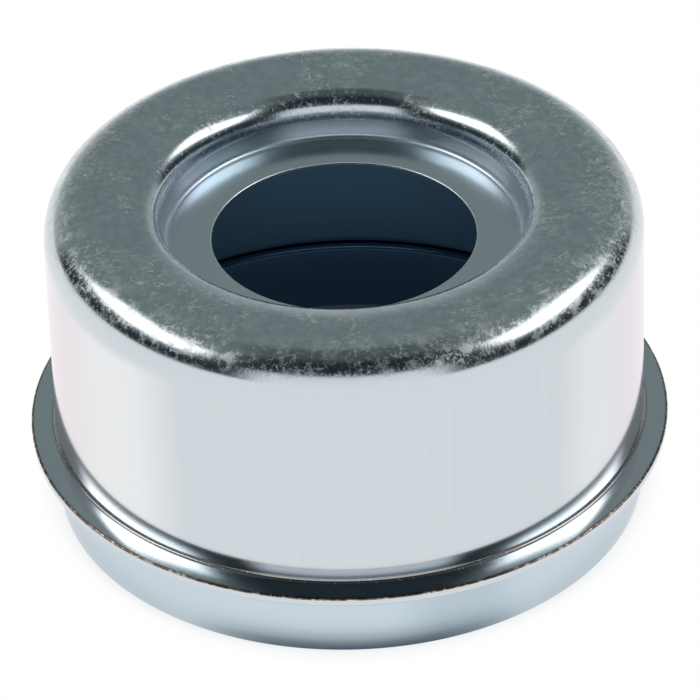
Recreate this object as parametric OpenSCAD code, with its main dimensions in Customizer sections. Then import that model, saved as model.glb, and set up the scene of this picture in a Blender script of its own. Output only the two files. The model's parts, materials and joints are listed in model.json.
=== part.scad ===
/* [Sheet] */
// Thickness of the drawn sheet steel
sheet_t = 0.36; // [0.3:0.02:0.6]
// Gap left inside the pressed flange at the turn of its fold
fold_gap = 0.08; // [0.06:0.01:0.2]

/* [Skirt] */
// Outside diameter of the skirt that is driven into the hub
skirt_d = 50.3; // [48:0.05:60]
// Height over which the skirt's end curves in to lead it into the hub
lead_h = 1.2; // [0.5:0.1:2]
// Radius of that curve
lead_r = 6; // [4:0.5:12]

/* [Body] */
// Height from the open rim to the flat top
cap_h = 28.6; // [24:0.1:45]
// How far the body's wall stands inside the skirt's, a side
step_w = 0.2; // [0:0.05:0.5]
// Outside radius of the shoulder
shoulder_r = 3.3; // [1.5:0.1:4]
// Draft of the body's wall, in degrees a side
body_draft = 0.5; // [0.1:0.1:1]

/* [Plug seat] */
// Diameter of the punched hole that takes the rubber plug
plug_hole_d = 22.1; // [18:0.1:24]
// Diameter of the seat where its side meets its floor
seat_d = 29.9; // [28:0.1:33]
// Depth of the seat's floor under the flat top
seat_depth = 4.3; // [3.6:0.1:6]
// Lean of the seat's side from upright, in degrees
seat_lean = 9; // [2:1:20]
// Radius of the bend from the seat's side into its floor
seat_floor_r = 0.7; // [0.3:0.1:1]
// Radius of the tight bend at the seat's rim
seat_rim_r = 2.3; // [0.8:0.1:2.5]
// Radius of the easier bend from the tight one into the seat's side
ease_r = 4; // [2.5:0.1:5]
// Slope where the tight bend meets the easier one, in degrees
ease_angle = 65; // [50:1:68]
// Radius of the wide bend that runs from the flat top into the tight one
run_r = 11.5; // [3:0.5:14]
// Slope where the wide bend meets the tight one, in degrees
run_angle = 15; // [5:1:20]

/* [Flange] */
// How far the folded flange stands out from the skirt, a side
flange_w = 2; // [1.6:0.1:4]
// Height of the flange's flat underside over the open rim
flange_z = 6.2; // [4:0.1:12]
// Downward slope of the flange's upper layer, in degrees
flange_slope = 5; // [0:1:15]
// Radius of the flange's two squared outer corners
edge_r = 0.15; // [0.05:0.05:0.35]
// Radius of the hollow bend where the wall meets the flange
foot_r = 0.3; // [0.2:0.1:0.8]
// Radius of the hollow bend under the flange
under_r = 0.2; // [0.2:0.1:0.8]

/* [Hidden] */
// Straight pieces in each bend of the section, and round the whole cap
bend_steps = 12;
$fn = 240;

body_d = skirt_d - 2 * step_w;
flange_d = skirt_d + 2 * flange_w;
floor_z = cap_h - seat_depth;

// Directions that the outer faces of the seat's side, the wall and the flange look in.
side_normal = [-cos(seat_lean), sin(seat_lean)];
wall_normal = [cos(body_draft), sin(body_draft)];
slope_normal = [sin(flange_slope), cos(flange_slope)];
up = [0, 1];

// The point at distance a along direction n and at distance b along direction m.
function meeting(n, a, m, b) =
    [a * m.y - b * n.y, n.x * b - m.x * a] / (n.x * m.y - n.y * m.x);

// The shoulder rounds the top into the wall.
shoulder_centre = [body_d / 2 - shoulder_r * cos(body_draft), cap_h - shoulder_r];

// The seat's side leans out from the corner with the floor. The rim over it has
// three bends that run into each other: an easy one off the side, a tight one, and
// a wide one into the flat top. Where the land between seat and shoulder is narrower
// than their reach, their radii shrink with it.
side_at = side_normal * [seat_d / 2, floor_z];
land = shoulder_centre.x - seat_d / 2 - seat_depth * tan(seat_lean);
rim_off_side = ease_r - (ease_r - seat_rim_r) * sin(ease_angle + seat_lean);
rim_reach = rim_off_side / cos(seat_lean) + (run_r - seat_rim_r) * sin(run_angle);
rim_share = min(1, land / rim_reach);
easy_r = ease_r * rim_share;
tight_r = seat_rim_r * rim_share;
wide_r = run_r * rim_share;
seat_floor_centre = meeting(side_normal, side_at + seat_floor_r, up, floor_z + seat_floor_r);
tight_centre = meeting(
    side_normal, side_at - rim_off_side * rim_share,
    up, cap_h - wide_r + (wide_r - tight_r) * cos(run_angle)
);
easy_centre = tight_centre + (easy_r - tight_r) * [sin(ease_angle), -cos(ease_angle)];
wide_centre = tight_centre + (wide_r - tight_r) * [sin(run_angle), -cos(run_angle)];

// The flange is two layers of sheet, one folded back under the other and pressed
// until the outside of the fold is nearly square.
fold_r = sheet_t + fold_gap / 2;
fold_centre = [flange_d / 2 - fold_r, flange_z + fold_r];
slope_at = slope_normal * fold_centre + fold_r;
edge_centre = meeting([1, 0], flange_d / 2 - edge_r, slope_normal, slope_at - edge_r);
foot_centre = meeting(
    wall_normal, wall_normal * shoulder_centre + shoulder_r + foot_r,
    slope_normal, slope_at + foot_r
);

// Bends of the sheet in the order from the hole to the open rim, each with its
// centre, its radius on the outer face, 1 where that face is round or -1 where
// it is hollow, and the angles where it starts and ends. The sheet runs straight
// between two bends.
bends_over_fold = [
    [seat_floor_centre, seat_floor_r, -1, -90, -seat_lean],
    [easy_centre, easy_r, 1, 180 - seat_lean, 90 + ease_angle],
    [tight_centre, tight_r, 1, 90 + ease_angle, 90 + run_angle],
    [wide_centre, wide_r, 1, 90 + run_angle, 90],
    [shoulder_centre, shoulder_r, 1, 90, body_draft],
    [foot_centre, foot_r, -1, 180 + body_draft, 270 - flange_slope]
];
bend_under_fold = [[skirt_d / 2 + under_r, flange_z - under_r], under_r, -1, 90, 180];

// The fold is square outside and turns on half the gap inside.
fold_outside = [
    [edge_centre, edge_r, 1, 90 - flange_slope, 0],
    [[flange_d / 2 - edge_r, flange_z + edge_r], edge_r, 1, 0, -90]
];
fold_inside = [[fold_centre, fold_r, 1, 90 - flange_slope, -90]];

// Points along an arc, from one angle to the other.
function arc(centre, r, from, to) =
    [for (i = [0:bend_steps]) centre + r * [
        cos(from + (to - from) * i / bend_steps),
        sin(from + (to - from) * i / bend_steps)
    ]];

// A row of points without those where one bend starts on the end of another.
function apart(row) =
    [for (i = [0:len(row) - 1]) if (i == 0 || norm(row[i] - row[max(i - 1, 0)]) > 0.001) row[i]];

// One face of the sheet, at a depth under its outer face, from the edge of the
// hole to the open rim, where both faces of the trimmed edge are level.
function face(depth, fold) = apart(concat(
    [[plug_hole_d / 2, floor_z - depth]],
    [for (b = concat(bends_over_fold, fold, [bend_under_fold]))
        each arc(b[0], b[1] - b[2] * depth, b[3], b[4])],
    arc([skirt_d / 2 - lead_r, lead_h], lead_r - depth, 0, -asin(lead_h / (lead_r - depth)))
));

// The section is the sheet between its outer and its inner face.
module sheet_section() {
    outer = face(0, fold_outside);
    inner = face(sheet_t, fold_inside);
    polygon(concat(outer, [for (i = [len(inner) - 1:-1:0]) inner[i]]));
}

// One deep-drawn cap: top, plug seat, body, folded flange and skirt.
module grease_cap() {
    color([0.78, 0.80, 0.82])
        rotate_extrude()
            sheet_section();
}

grease_cap();
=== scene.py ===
import json
import math
import bpy
import numpy as np
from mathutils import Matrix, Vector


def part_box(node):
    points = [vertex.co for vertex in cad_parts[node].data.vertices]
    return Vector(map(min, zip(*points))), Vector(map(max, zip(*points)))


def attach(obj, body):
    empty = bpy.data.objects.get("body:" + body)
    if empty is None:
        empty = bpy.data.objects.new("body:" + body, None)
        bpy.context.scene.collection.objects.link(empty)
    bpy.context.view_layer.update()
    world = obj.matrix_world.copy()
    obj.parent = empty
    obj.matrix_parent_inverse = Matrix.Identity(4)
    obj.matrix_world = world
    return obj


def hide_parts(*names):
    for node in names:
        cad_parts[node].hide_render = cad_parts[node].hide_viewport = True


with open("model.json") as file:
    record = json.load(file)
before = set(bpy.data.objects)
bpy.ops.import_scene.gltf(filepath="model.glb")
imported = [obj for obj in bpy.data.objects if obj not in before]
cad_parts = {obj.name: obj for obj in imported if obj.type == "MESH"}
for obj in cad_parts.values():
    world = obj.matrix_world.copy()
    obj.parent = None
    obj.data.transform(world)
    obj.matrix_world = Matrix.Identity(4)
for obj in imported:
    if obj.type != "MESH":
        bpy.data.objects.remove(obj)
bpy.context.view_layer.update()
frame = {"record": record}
mounts = {mount["name"]: mount for mount in frame["record"]["mounts"]}
MM = 0.001


# The camera stands in front of the cap and looks down on its closed end, from
# about 0.4 m away. It is rolled a little, so that the cap's axis leans left.
def place_camera(top_height):
    """Aim a long lens at the top's centre: back along the line of sight, then across it."""
    elevation = math.radians(35.15)
    roll = math.radians(1.76)
    distance = 393 * MM
    across = 0.2 * MM
    upward = -13.2 * MM
    focal_px = 4746
    right = np.array([1, 0, 0])
    forward = np.array([0, math.cos(elevation), -math.sin(elevation)])
    upright = np.array([0, math.sin(elevation), math.cos(elevation)])
    place = np.array([0, 0, top_height]) + across * right + upward * upright - distance * forward
    camera_right = math.cos(roll) * right - math.sin(roll) * upright
    camera_up = math.sin(roll) * right + math.cos(roll) * upright
    data = bpy.data.cameras.new("camera")
    data.sensor_width = 36
    data.lens = focal_px / 700 * data.sensor_width
    data.clip_start = 0.01
    camera = bpy.data.objects.new("camera", data)
    matrix = np.eye(4)
    matrix[:3, 0] = camera_right
    matrix[:3, 1] = camera_up
    matrix[:3, 2] = -forward
    matrix[:3, 3] = place
    camera.matrix_world = matrix.T.tolist()
    bpy.context.scene.collection.objects.link(camera)
    bpy.context.scene.camera = camera


place_camera(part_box("grease_cap")[1].z)


# The cap's sheet: one blank of thin steel, drawn to a cup, with the plug seat
# pressed in, the hole punched and the flange folded out of the wall and pressed
# flat. Its section follows the one in the part's source to 0.13 mm, with a steeper
# seat, a crowned flange and the sharpness taken off the two cut edges.
SHEET = mounts["plug_hole"]["dims"]["length_mm"]
CUT_EDGE = 0.12
AROUND = 320
RING = np.linspace(0, 2 * np.pi, AROUND, endpoint=False)


def way(degrees):
    """The direction that looks out at this angle over level."""
    return np.array([math.cos(math.radians(degrees)), math.sin(math.radians(degrees))])


def line_meeting(n, a, m, b):
    """The point at distance a along direction n and at distance b along direction m."""
    return np.linalg.solve(np.array([n, m]), np.array([a, b]))


def section_bends():
    """The bends over the flange's fold, those of the fold's outside and inside, and those under it.

    Each is its centre, outer radius, 1 round or -1 hollow, first and last angle, steps and strain.
    """
    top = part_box("grease_cap")[1].z / MM
    flange_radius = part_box("grease_cap")[1].x / MM
    flange_height = mounts["flange_seat"]["pos_m"][2] / MM
    seat_height = mounts["plug_seat"]["pos_m"][2] / MM
    skirt_radius = mounts["hub_skirt"]["dims"]["r_mm"]
    level = np.array([1.0, 0.0])
    up = np.array([0.0, 1.0])

    shoulder, draft, step = 3.3, 0.5, 0.2
    shoulder_centre = np.array([skirt_radius - step - shoulder * way(draft)[0], top - shoulder])

    seat_radius, lean, floor_bend, rim_bend = 14.95, 6.5, 0.5, 2.2
    run_bend, run_angle, ease_bend, ease_angle = 11.5, 15, 4, 72
    side_way = way(180 - lean)
    side_at = side_way @ np.array([seat_radius, seat_height])
    floor_centre = line_meeting(side_way, side_at + floor_bend, up, seat_height + floor_bend)
    rim_centre = line_meeting(
        side_way, side_at - ease_bend + (ease_bend - rim_bend) * way(ease_angle + lean)[1],
        up, top - run_bend + (run_bend - rim_bend) * way(run_angle)[0])
    ease_centre = rim_centre - (ease_bend - rim_bend) * way(90 + ease_angle)
    run_centre = rim_centre - (run_bend - rim_bend) * way(90 + run_angle)

    foot, crown, corner, under, gap = 0.3, 8.5, 0.15, 0.2, 0.08
    slope, edge_slope, inner_stop = 3, 11, 2.5
    slope_way, edge_way = way(90 - slope), way(90 - edge_slope)
    fold = SHEET + gap / 2
    fold_centre = np.array([flange_radius - fold, flange_height + fold])
    corner_centre = line_meeting(
        level, flange_radius - corner,
        edge_way, edge_way @ fold_centre + fold - corner)
    lower_corner = np.array([flange_radius - corner, flange_height + corner])
    crown_centre = corner_centre - (crown - corner) * edge_way
    foot_centre = line_meeting(
        way(draft), way(draft) @ shoulder_centre + shoulder + foot,
        slope_way, slope_way @ crown_centre + crown + foot)
    over = [
        (floor_centre, floor_bend, -1, -90, -lean, 12, 1.0),
        (ease_centre, ease_bend, 1, 180 - lean, 90 + ease_angle, 10, 1.0),
        (rim_centre, rim_bend, 1, 90 + ease_angle, 90 + run_angle, 20, 1.0),
        (run_centre, run_bend, 1, 90 + run_angle, 90, 10, 0.4),
        (shoulder_centre, shoulder, 1, 90, draft, 28, 0.8),
        (foot_centre, foot, -1, 180 + draft, 270 - slope, 10, 1.0)]
    outside = [
        (crown_centre, crown, 1, 90 - slope, 90 - edge_slope, 8, 0.3),
        (corner_centre, corner, 1, 90 - edge_slope, 0, 8, 1.0),
        (lower_corner, corner, 1, 0, -90, 8, 1.0)]
    inside = [
        (crown_centre, crown, 1, 90 - slope, 90 - edge_slope + inner_stop, 6, 0.3),
        (fold_centre, fold, 1, 90 - edge_slope, -90, 8, 1.0)]
    under_centre = np.array([skirt_radius + under, flange_height - under])
    beneath = [(under_centre, under, -1, 90, 180, 8, 0.6)]
    return over, outside, inside, beneath


def bend_points(centre, radius, first, last, steps):
    """Points at even angles along a bend, and one a hair before and after it on its own tangents."""
    guard = 0.03
    angle = np.radians(np.linspace(first, last, steps + 1))
    around = np.stack([np.cos(angle), np.sin(angle)], -1)
    along = np.stack([-np.sin(angle), np.cos(angle)], -1) * np.sign(last - first)
    arc = centre + radius * around
    return np.concatenate([[arc[0] - guard * along[0]], arc, [arc[-1] + guard * along[-1]]])


def sheet_face(depth, fold):
    """One face of the sheet at a depth under its outer face: bends joined by straight runs.

    Returns the points from the hole to the open rim, and how strongly the sheet is bent at each.
    """
    hole_radius = mounts["plug_hole"]["dims"]["r_mm"]
    seat_height = mounts["plug_seat"]["pos_m"][2] / MM
    skirt_radius = mounts["hub_skirt"]["dims"]["r_mm"]
    lead_radius = 6
    lead_height = 1.2
    over, _, _, beneath = section_bends()
    points = np.array([[hole_radius + CUT_EDGE, seat_height - depth]])
    strain = np.zeros(1)
    for centre, radius, sign, first, last, steps, pull in over + fold + beneath:
        bend = bend_points(centre, radius - sign * depth, first, last, steps)
        pulled = np.concatenate([[0.0], np.full(steps + 1, pull), [0.0]])
        if len(points) > 1 and np.linalg.norm(points[-2] - bend[1]) < 0.001:
            points, strain = points[:-2], strain[:-2]
            bend, pulled = bend[1:], pulled[1:]
        points = np.concatenate([points, bend])
        strain = np.concatenate([strain, pulled])
    lead = lead_radius - depth
    turn = math.degrees(math.asin((lead_height - CUT_EDGE) / lead))
    curve = bend_points(np.array([skirt_radius - lead_radius, lead_height]), lead, 0, -turn, 8)[:-1]
    return np.concatenate([points, curve]), np.concatenate([strain, np.zeros(len(curve))])


def cut_edge(start, end, corner_a, corner_b):
    """The trimmed edge between the two faces: a small round, a flat, and a small round."""
    steps = np.linspace(0, np.pi / 2, 4)[1:, None]
    first = start + (corner_a - start) * np.sin(steps) + (1 - np.cos(steps)) * (
        (corner_b - corner_a) / np.linalg.norm(corner_b - corner_a) * CUT_EDGE)
    last = end + (corner_b - end) * np.sin(steps) + (1 - np.cos(steps)) * (
        (corner_a - corner_b) / np.linalg.norm(corner_b - corner_a) * CUT_EDGE)
    return np.concatenate([first, last[::-1]])


def cap_section():
    """The closed section: outer face, rim edge, inner face back to the hole, hole edge.

    Returns its points and the marks that the finish goes by: how far along the sheet each
    point lies in millimetres, how strongly the sheet is bent there, and 1 on the inner face,
    on the flange's outer corner and on the two cut edges.
    """
    _, fold_outside, fold_inside, _ = section_bends()
    outer, outer_strain = sheet_face(0, fold_outside)
    inner, inner_strain = sheet_face(SHEET, fold_inside)
    rim = cut_edge(outer[-1], inner[-1],
                   np.array([outer[-1][0] - 0.01, 0]), np.array([inner[-1][0] - 0.01, 0]))
    hole_radius = mounts["plug_hole"]["dims"]["r_mm"]
    hole = cut_edge(inner[0], outer[0],
                    np.array([hole_radius, inner[0][1]]), np.array([hole_radius, outer[0][1]]))
    points = np.concatenate([outer, rim, inner[::-1], hole])
    counts = [len(outer), len(rim), len(inner), len(hole)]
    outer_along = np.concatenate([[0], np.cumsum(np.linalg.norm(np.diff(outer, axis=0), axis=1))])
    inner_along = np.concatenate([[0], np.cumsum(np.linalg.norm(np.diff(inner, axis=0), axis=1))])
    corner_at, corner_bend = fold_outside[1][:2]
    corner = np.linalg.norm(points - corner_at, axis=1) < corner_bend + 0.001
    return points, {
        "along": np.concatenate([outer_along, np.full(counts[1], outer_along[-1]), inner_along[::-1],
                                 np.zeros(counts[3])]),
        "strain": np.concatenate([outer_strain, np.zeros(counts[1]), inner_strain[::-1],
                                  np.zeros(counts[3])]),
        "inside": np.repeat([0.0, 0.0, 1.0, 0.0], counts),
        "corner": corner.astype(float),
        "cut": np.repeat([0.0, 1.0, 0.0, 1.0], counts)}


def hand_of_the_press(points):
    """How far each point of the turned surface gives way, in millimetres.

    It is a sum of three sines, with 3, 5 and 11 waves round the cap and a twist with height, and
    never outwards. The waves fade out at the hole, at the flange and below it, so that what
    seats stays true.
    """
    depth = 0.006
    radius, height = points[:, 0][:, None], points[:, 1][:, None]
    flange_height = mounts["flange_seat"]["pos_m"][2] / MM
    free = np.clip((height - flange_height - 1.5) / 6, 0, 1) * np.clip((radius - 12) / 8, 0, 1)
    waves = (np.sin(3 * RING + 0.7 + height * 0.11) + 0.6 * np.sin(5 * RING + 2.1 - height * 0.17)
             + 0.35 * np.sin(11 * RING + 0.4 + height * 0.3))
    return depth * free * (waves - 2)


def turned_surface(name, points, attributes):
    """Carry the section round the axis: a grid of section points by angles, closed both ways."""
    rows = len(points)
    give = hand_of_the_press(points)
    radius = points[:, 0][:, None] + give
    grid = np.stack([radius * np.cos(RING), radius * np.sin(RING),
                     np.broadcast_to(points[:, 1][:, None], radius.shape)], -1) * MM
    index = np.arange(rows * AROUND).reshape(rows, AROUND)
    below = np.roll(index, -1, 0)
    quads = np.stack([index, below, np.roll(below, -1, 1), np.roll(index, -1, 1)], -1).reshape(-1, 4)
    mesh = bpy.data.meshes.new(name)
    mesh.vertices.add(rows * AROUND)
    mesh.vertices.foreach_set("co", grid.reshape(-1).astype(np.float32))
    mesh.loops.add(quads.size)
    mesh.loops.foreach_set("vertex_index", quads.reshape(-1).astype(np.int32))
    mesh.polygons.add(len(quads))
    mesh.polygons.foreach_set("loop_start", np.arange(0, quads.size, 4, dtype=np.int32))
    mesh.update(calc_edges=True)
    mesh.polygons.foreach_set("use_smooth", np.ones(len(quads), bool))
    for label, values in attributes.items():
        layer = mesh.attributes.new(label, "FLOAT", "POINT")
        layer.data.foreach_set("value", np.repeat(values, AROUND).astype(np.float32))
    mesh.validate()
    piece = bpy.data.objects.new(name, mesh)
    bpy.context.scene.collection.objects.link(piece)
    return piece


section, marks = cap_section()
cap = turned_surface("cap_sheet", section, marks)


# The finish: bright zinc over the drawn steel, a little blue from its passivation, with a faint lavender
# tint on the seat's side. The bends are grainy, because the sheet was pulled there. Handling has left
# pale scuffs and hair scratches on the closed end, most of all on its shoulder. The punched edge is
# pale, and the flange's corner is brown. Painted into the colour are a painted reflection that brightens
# the wall's flanks, a painted rose sheen beside them, painted shade on the inner face, on the skirt's
# front right and, brown, in the crease at the flange's foot, and painted glints on the flange's corner.
def socket(tree, node, name, value):
    """Set an input to a number or colour, or link it to another node's output."""
    if isinstance(value, bpy.types.NodeSocket):
        tree.links.new(value, node.inputs[name])
    else:
        node.inputs[name].default_value = value


def math_node(tree, operation, first, second=0.0, clamp=False):
    """One step of arithmetic on two numbers."""
    node = tree.nodes.new("ShaderNodeMath")
    node.operation = operation
    node.use_clamp = clamp
    socket(tree, node, 0, first)
    socket(tree, node, 1, second)
    return node.outputs[0]


def product(tree, *values):
    """All the numbers multiplied together."""
    result = values[0]
    for value in values[1:]:
        result = math_node(tree, "MULTIPLY", result, value)
    return result


def total(tree, *values):
    """All the numbers added together."""
    result = values[0]
    for value in values[1:]:
        result = math_node(tree, "ADD", result, value)
    return result


def ramp(tree, value, low, high, to_low=0.0, to_high=1.0):
    """Carry a value smoothly from one range to another, flat outside it."""
    node = tree.nodes.new("ShaderNodeMapRange")
    node.interpolation_type = "SMOOTHSTEP"
    for name, number in (("Value", value), ("From Min", low), ("From Max", high),
                         ("To Min", to_low), ("To Max", to_high)):
        socket(tree, node, name, number)
    return node.outputs["Result"]


def band(tree, value, start, full, fade, end):
    """1 from full to fade, falling smoothly to 0 at start and at end."""
    return product(tree, ramp(tree, value, start, full), ramp(tree, value, fade, end, 1, 0))


def mix_colours(tree, amount, first, second):
    """Blend from the first colour to the second."""
    node = tree.nodes.new("ShaderNodeMix")
    node.data_type = "RGBA"
    socket(tree, node, 0, amount)
    socket(tree, node, 6, first)
    socket(tree, node, 7, second)
    return node.outputs[2]


def mark(tree, name):
    """A mark that the section carries."""
    node = tree.nodes.new("ShaderNodeAttribute")
    node.attribute_name = name
    return node.outputs["Fac"]


def noise(tree, place, size, detail=2.0, rough=0.5):
    """Noise whose features are about this size, in the unit of the coordinates."""
    node = tree.nodes.new("ShaderNodeTexNoise")
    socket(tree, node, "Vector", place)
    node.inputs["Scale"].default_value = 1 / size
    node.inputs["Detail"].default_value = detail
    node.inputs["Roughness"].default_value = rough
    return node.outputs["Fac"]


def from_axis(tree, x, y):
    """Distance from the cap's axis."""
    return math_node(tree, "SQRT", total(tree, product(tree, x, x), product(tree, y, y)))


def sheet_place(tree, parts, along, radius_mm, squeeze):
    """Coordinates in millimetres round a ring of one radius, and along the section.

    A squeeze under 1 draws the features out along the section.
    """
    x, y, _ = parts
    radius = from_axis(tree, x, y)
    node = tree.nodes.new("ShaderNodeCombineXYZ")
    socket(tree, node, "X", product(tree, math_node(tree, "DIVIDE", x, radius), radius_mm))
    socket(tree, node, "Y", product(tree, math_node(tree, "DIVIDE", y, radius), radius_mm))
    socket(tree, node, "Z", product(tree, along, squeeze))
    return node.outputs[0]


def zinc_material():
    """Bright zinc plate: one metal, whose colour, roughness and relief follow the marks and the wear,
    with painted shade, a painted reflection, a painted sheen and painted glints in its colour.
    """
    material = bpy.data.materials.new("zinc_plate")
    material.use_nodes = True
    tree = material.node_tree
    shader = tree.nodes["Principled BSDF"]
    object_place = tree.nodes.new("ShaderNodeTexCoord").outputs["Object"]
    scaled = tree.nodes.new("ShaderNodeVectorMath")
    scaled.operation = "SCALE"
    socket(tree, scaled, 0, object_place)
    scaled.inputs["Scale"].default_value = 1 / MM
    place = scaled.outputs[0]
    split = tree.nodes.new("ShaderNodeSeparateXYZ")
    socket(tree, split, 0, place)
    parts = split.outputs[:3]
    along = mark(tree, "along")
    strain = mark(tree, "strain")
    inside = mark(tree, "inside")
    cut = mark(tree, "cut")
    corner = mark(tree, "corner")
    outside = math_node(tree, "SUBTRACT", 1.0, inside)
    hairs = sheet_place(tree, parts, along, 18, 0.35)
    draw = sheet_place(tree, parts, along, 25, 0.04)
    aside = math_node(tree, "DIVIDE", parts[0], 25)
    far_aside = math_node(tree, "ABSOLUTE", aside)

    # Places on the outer face, by millimetres along the sheet from the hole
    seat_floor = product(tree, ramp(tree, along, 4.6, 6.2, 1, 0), outside)
    seat_side = product(tree, band(tree, along, 3.4, 3.9, 5.2, 6.4), outside)
    tinted_side = product(tree, band(tree, along, 3.2, 3.9, 5.6, 7), outside)
    closed_end = product(tree, band(tree, along, 4.2, 6.5, 16.2, 17.4), outside)
    shoulder = product(tree, band(tree, along, 12.6, 14, 16.6, 17.4), outside)
    wall = product(tree, band(tree, along, 18.5, 20, 35.5, 36.1), outside)
    crease = product(tree, band(tree, along, 36.1, 36.3, 36.5, 36.8), outside)
    flange = band(tree, along, 36.4, 36.9, 38.4, 38.8)
    skirt = product(tree, ramp(tree, along, 41, 42), outside)

    # Colour of the closed end, mottled
    plain = (0.635, 0.685, 0.72, 1)
    closed_dark = (0.52, 0.575, 0.60, 1)
    closed_pale = (0.64, 0.69, 0.71, 1)
    zinc = mix_colours(tree, closed_end, plain, closed_dark)
    mottle = ramp(tree, noise(tree, place, 0.9, 6, 0.75), 0.35, 0.65)
    zinc = mix_colours(tree, product(tree, mottle, closed_end), zinc, closed_pale)

    # Colour of the wall, with draw marks, flanks brightened by a painted reflection and a painted rose
    # sheen beside them
    draw_mark = (0.70, 0.735, 0.77, 1)
    wall_painted_reflection = (0.84, 0.85, 0.865, 1)
    painted_rose_sheen = (0.76, 0.64, 0.71, 1)
    streaks = ramp(tree, noise(tree, draw, 1.2, 3, 0.6), 0.4, 0.7)
    zinc = mix_colours(tree, product(tree, streaks, wall, 0.22), zinc, draw_mark)
    # Painted reflection: the wall's left and right flanks are painted brighter, in place of the brighter
    # floor the metal reflects there
    painted_reflection_flanks = total(tree, ramp(tree, aside, -0.72, -0.52, 1, 0), ramp(tree, aside, 0.66, 0.8, 0, 0.6))
    zinc = mix_colours(tree, product(tree, painted_reflection_flanks, wall, 0.85), zinc, wall_painted_reflection)
    # Painted sheen: a rose tint painted where the wall turns away at its two flanks, in place of the
    # sheen the metal shows at grazing angles
    zinc = mix_colours(tree, product(tree, ramp(tree, far_aside, 0.80, 0.99), wall, 0.8), zinc, painted_rose_sheen)

    # Colour of the seat's side, bluish, with lavender at the flanks
    bluish = (0.50, 0.63, 0.72, 1)
    lavender = (0.64, 0.66, 0.79, 1)
    uneven = ramp(tree, noise(tree, place, 6), 0.4, 0.6, 0.5, 1)
    tint = mix_colours(tree, ramp(tree, far_aside, 0.42, 0.58), bluish, lavender)
    zinc = mix_colours(tree, product(tree, tinted_side, uneven), zinc, tint)

    # Colour of the skirt with a painted shade at its front right, of the crease with a painted brown
    # shade, and of the inner face, painted dark as shade
    skirt_blue = (0.575, 0.665, 0.73, 1)
    skirt_painted_shade_colour = (0.38, 0.47, 0.54, 1)
    crease_painted_shade = (0.30, 0.25, 0.22, 1)
    inner_painted_shade = (0.25, 0.42, 0.57, 1)
    zinc = mix_colours(tree, skirt, zinc, skirt_blue)
    # Painted shade: the skirt is painted darker at its front right, where it reflects the shaded floor
    # near its foot
    painted_skirt_shade = product(tree, skirt, band(tree, aside, 0.1, 0.3, 0.4, 0.6), 0.5)
    zinc = mix_colours(tree, painted_skirt_shade, zinc, skirt_painted_shade_colour)
    # Painted shade: a thin brown darkening painted in the crease at the flange's foot
    zinc = mix_colours(tree, product(tree, crease, 0.7), zinc, crease_painted_shade)
    # Painted shade: the inner face is painted dark blue, in place of the shade inside the cap
    zinc = mix_colours(tree, inside, zinc, inner_painted_shade)

    # Wear: smears, flecks in patches, the rubbed shoulder, scratches, and pits in the bends
    smear_pale = (0.86, 0.90, 0.92, 1)
    worn_pale = (0.95, 0.97, 0.98, 1)
    smears = ramp(tree, noise(tree, place, 3.4, 6, 0.8), 0.52, 0.66)
    zinc = mix_colours(tree, product(tree, smears, closed_end, 0.4), zinc, smear_pale)
    near_shoulder = ramp(tree, along, 11.8, 13.5, 0, 0.07)
    patches = total(tree, noise(tree, place, 5, 3, 0.6), near_shoulder)
    patches = product(tree, ramp(tree, patches, 0.45, 0.6), closed_end)
    flecks = ramp(tree, noise(tree, place, 0.45, 5, 0.75), 0.5, 0.64)
    flecks = product(tree, flecks, patches, 0.75)
    rubbed = ramp(tree, noise(tree, place, 1.4, 6, 0.8), 0.49, 0.6)
    rubbed = product(tree, rubbed, shoulder, 0.55)
    contour = math_node(tree, "SUBTRACT", noise(tree, place, 2.6, 2, 0.55), 0.5)
    scratches = ramp(tree, math_node(tree, "ABSOLUTE", contour), 0.004, 0.012, 1, 0)
    scratches = product(tree, scratches, patches, ramp(tree, noise(tree, place, 1.1), 0.5, 0.6))
    pits = ramp(tree, noise(tree, hairs, 0.14, 1), 0.66, 0.74)
    pits = product(tree, pits, strain, outside, 0.5)
    worn = math_node(tree, "MAXIMUM", flecks, rubbed)
    worn = math_node(tree, "MAXIMUM", worn, scratches)
    worn = math_node(tree, "MAXIMUM", worn, pits)
    zinc = mix_colours(tree, product(tree, worn, 0.85), zinc, worn_pale)

    # Edges: the pale cuts, and the flange's corner, brown with painted glints
    cut_pale = (0.88, 0.95, 1.0, 1)
    corner_brown = (0.17, 0.12, 0.09, 1)
    painted_glint_colour = (0.80, 0.74, 0.68, 1)
    browned = ramp(tree, noise(tree, draw, 0.8, 3), 0.3, 0.5, 0.55, 1)
    # Painted highlights: pale glints painted in spots along the flange's corner
    painted_glints = ramp(tree, noise(tree, place, 0.5, 3, 0.7), 0.52, 0.6)
    zinc = mix_colours(tree, product(tree, cut, 0.9), zinc, cut_pale)
    zinc = mix_colours(tree, product(tree, corner, browned), zinc, corner_brown)
    zinc = mix_colours(tree, product(tree, corner, painted_glints, 0.7), zinc, painted_glint_colour)
    socket(tree, shader, "Base Color", zinc)
    shader.inputs["Metallic"].default_value = 1.0

    # Roughness: more in the bends, in the seat, at the wear and on the cuts
    rough = total(
        tree, ramp(tree, strain, 0, 1, 0.13, 0.17), product(tree, seat_side, 0.08),
        product(tree, seat_floor, 0.10), product(tree, worn, 0.4), product(tree, cut, 0.12))
    socket(tree, shader, "Roughness", rough)

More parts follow.
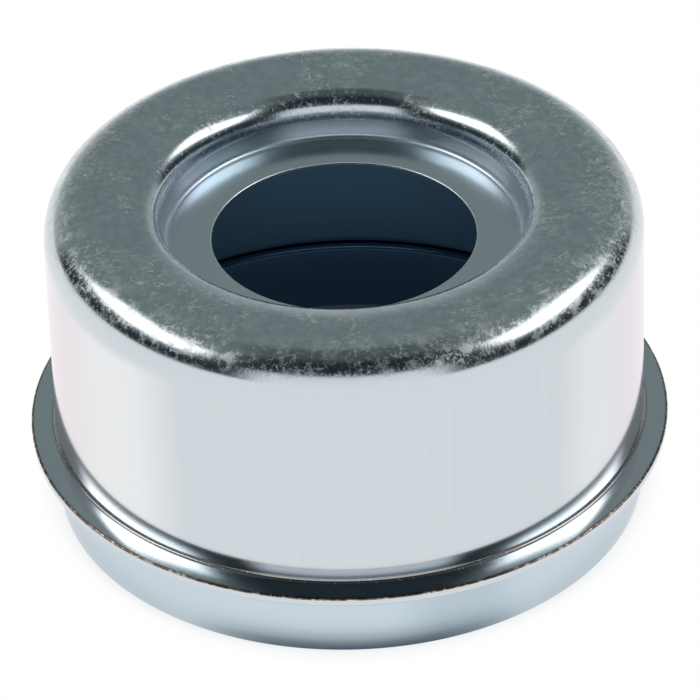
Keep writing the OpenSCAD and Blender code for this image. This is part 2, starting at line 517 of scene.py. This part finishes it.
    # Relief: grain of the pulled bends, fine texture of closed end and flange, slow waves
    grain = product(
        tree, noise(tree, hairs, 0.16, 2, 0.6), ramp(tree, strain, 0, 1, 0.1, 1), 3.0,
        ramp(tree, inside, 0, 1, 1, 0.1))
    textured = math_node(tree, "MAXIMUM", closed_end, product(tree, flange, 0.7))
    fine = product(
        tree, noise(tree, place, 0.3, 3, 0.65), outside, ramp(tree, textured, 0, 1, 0.1, 1.1))
    slow = product(tree, noise(tree, place, 3.5, 1), ramp(tree, wall, 0, 1, 1.5, 0.6))
    height = total(tree, grain, fine, slow)
    bump = tree.nodes.new("ShaderNodeBump")
    bump.inputs["Strength"].default_value = 1.0
    bump.inputs["Distance"].default_value = 0.002 * MM
    socket(tree, bump, "Height", height)
    socket(tree, shader, "Normal", bump.outputs["Normal"])
    return material


cap.data.materials.append(zinc_material())
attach(cap, "root")
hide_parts("grease_cap")


# The floor: a plain white sheet, far larger than the view. It shows white to the camera and in the
# metal, a little darker where the skirt stands on it, with that shade painted dark blue in the metal in
# front of the cap, and under the cap it is painted nearly black as painted shade, where light only comes
# in by the plug hole.
def make_floor():
    """One square at the height of the open rim, clear from below so that the underside can be seen."""
    reach = 3
    mesh = bpy.data.meshes.new("floor")
    mesh.from_pydata([(-reach, -reach, 0), (reach, -reach, 0), (reach, reach, 0), (-reach, reach, 0)],
                     [], [(0, 1, 2, 3)])
    floor = bpy.data.objects.new("floor", mesh)
    bpy.context.scene.collection.objects.link(floor)
    material = bpy.data.materials.new("floor_white")
    material.use_nodes = True
    tree = material.node_tree
    tree.nodes.clear()
    output = tree.nodes.new("ShaderNodeOutputMaterial")
    matt = tree.nodes.new("ShaderNodeBsdfDiffuse")
    matt.inputs["Color"].default_value = (0.8, 0.8, 0.8, 1)

    sky = tree.nodes.new("ShaderNodeAmbientOcclusion")
    sky.samples = 8
    sky.inputs["Distance"].default_value = 5 * MM
    seen = tree.nodes.new("ShaderNodeLightPath")
    split = tree.nodes.new("ShaderNodeSeparateXYZ")
    tree.links.new(tree.nodes.new("ShaderNodeTexCoord").outputs["Object"], split.inputs[0])
    x, y, _ = split.outputs
    radius = from_axis(tree, x, y)
    white = (1, 1, 1, 1)
    front_shade = (0.10, 0.14, 0.17, 1)
    camera_shade = (0.86, 0.87, 0.88, 1)
    painted_shade_under_hole = (0.066, 0.088, 0.104, 1)
    painted_shade_under_wall = (0.020, 0.026, 0.036, 1)
    # Painted shade: in the metal, the floor's shade round the skirt is painted dark blue in front of the
    # cap and much lighter at its sides; to the camera it is a faint grey
    in_front = ramp(tree, math_node(tree, "DIVIDE", y, radius), -1.0, -0.8, 1.0, 0.2)
    shade = mix_colours(tree, in_front, white, front_shade)
    shade = mix_colours(tree, seen.outputs["Is Camera Ray"], shade, camera_shade)
    clear = ramp(tree, seen.outputs["Is Camera Ray"], 0, 1, 0.95, 0.66)
    shade = mix_colours(tree, ramp(tree, sky.outputs["AO"], 0.5, clear), shade, white)
    # Painted shade: inside the skirt's radius the floor is painted nearly black, a little less dark
    # under the plug hole, in place of the shade under the cap
    skirt_radius = mounts["hub_skirt"]["dims"]["r_mm"]
    outdoors = ramp(tree, radius, (skirt_radius - 0.4) * MM, (skirt_radius - 0.1) * MM)
    under = mix_colours(tree, ramp(tree, radius, 4 * MM, 21 * MM), painted_shade_under_hole, painted_shade_under_wall)
    shown = mix_colours(tree, outdoors, under, shade)
    glow = tree.nodes.new("ShaderNodeEmission")
    socket(tree, glow, "Color", shown)
    shows = total(tree, seen.outputs["Is Camera Ray"], seen.outputs["Is Glossy Ray"])
    shows = math_node(tree, "ADD", shows, seen.outputs["Is Transmission Ray"], True)
    either = tree.nodes.new("ShaderNodeMixShader")
    socket(tree, either, 0, shows)
    socket(tree, either, 1, matt.outputs[0])
    socket(tree, either, 2, glow.outputs[0])
    from_below = tree.nodes.new("ShaderNodeMixShader")
    socket(tree, from_below, 0, tree.nodes.new("ShaderNodeNewGeometry").outputs["Backfacing"])
    socket(tree, from_below, 1, either.outputs[0])
    socket(tree, from_below, 2, tree.nodes.new("ShaderNodeBsdfTransparent").outputs[0])
    tree.links.new(from_below.outputs[0], output.inputs["Surface"])
    mesh.materials.append(material)


make_floor()


# The studio: a grey wall behind, a darker ceiling, a pale card low in front with
# the dark room above it, and a large soft box on each side, which fades out at
# its edges.
def light_studio():
    """Paint the room on the world by azimuth and elevation, with soft edges, and white to the camera."""
    world = bpy.data.worlds.new("studio")
    bpy.context.scene.world = world
    world.use_nodes = True
    tree = world.node_tree
    background = tree.nodes["Background"]
    parts = tree.nodes.new("ShaderNodeSeparateXYZ")
    tree.links.new(tree.nodes.new("ShaderNodeTexCoord").outputs["Generated"], parts.inputs[0])
    x, y, z = parts.outputs
    aside = math_node(tree, "ABSOLUTE", math_node(tree, "ARCTAN2", x, y))
    elevation = math_node(tree, "ARCSINE", z)

    def above(value, low, high):
        return ramp(tree, value, math.radians(low), math.radians(high))

    def below(value, low, high):
        return ramp(tree, value, math.radians(low), math.radians(high), 1.0, 0.0)

    def both(first, second):
        return product(tree, first, second)

    wall = (0.22, 0.262, 0.265, 1)
    horizon = (0.5, 0.54, 0.55, 1)
    ceiling = (0.095, 0.115, 0.12, 1)
    dark_room = (0.016, 0.026, 0.033, 1)
    card = (0.95, 0.97, 1.0, 1)
    soft_box = (3.0, 3.0, 3.0, 1)
    colour = mix_colours(tree, below(elevation, 0, 26), wall, horizon)
    colour = mix_colours(tree, above(elevation, 62, 78), colour, ceiling)
    colour = mix_colours(tree, both(above(aside, 100, 140), below(elevation, 64, 84)), colour, dark_room)
    colour = mix_colours(tree, both(above(aside, 44, 54), below(elevation, 16, 30)), colour, dark_room)
    colour = mix_colours(tree, both(above(aside, 138, 150), below(elevation, 25, 34)), colour, card)
    lit = both(above(aside, 50, 66), below(aside, 108, 124))
    lit = both(lit, both(above(elevation, 26, 34), below(elevation, 45, 52)))
    colour = mix_colours(tree, lit, colour, soft_box)
    seen = tree.nodes.new("ShaderNodeLightPath")
    colour = mix_colours(tree, seen.outputs["Is Camera Ray"], colour, (1, 1, 1, 1))
    tree.links.new(colour, background.inputs["Color"])
    background.inputs["Strength"].default_value = 1.0


light_studio()

bpy.context.scene.view_settings.view_transform = "Standard"
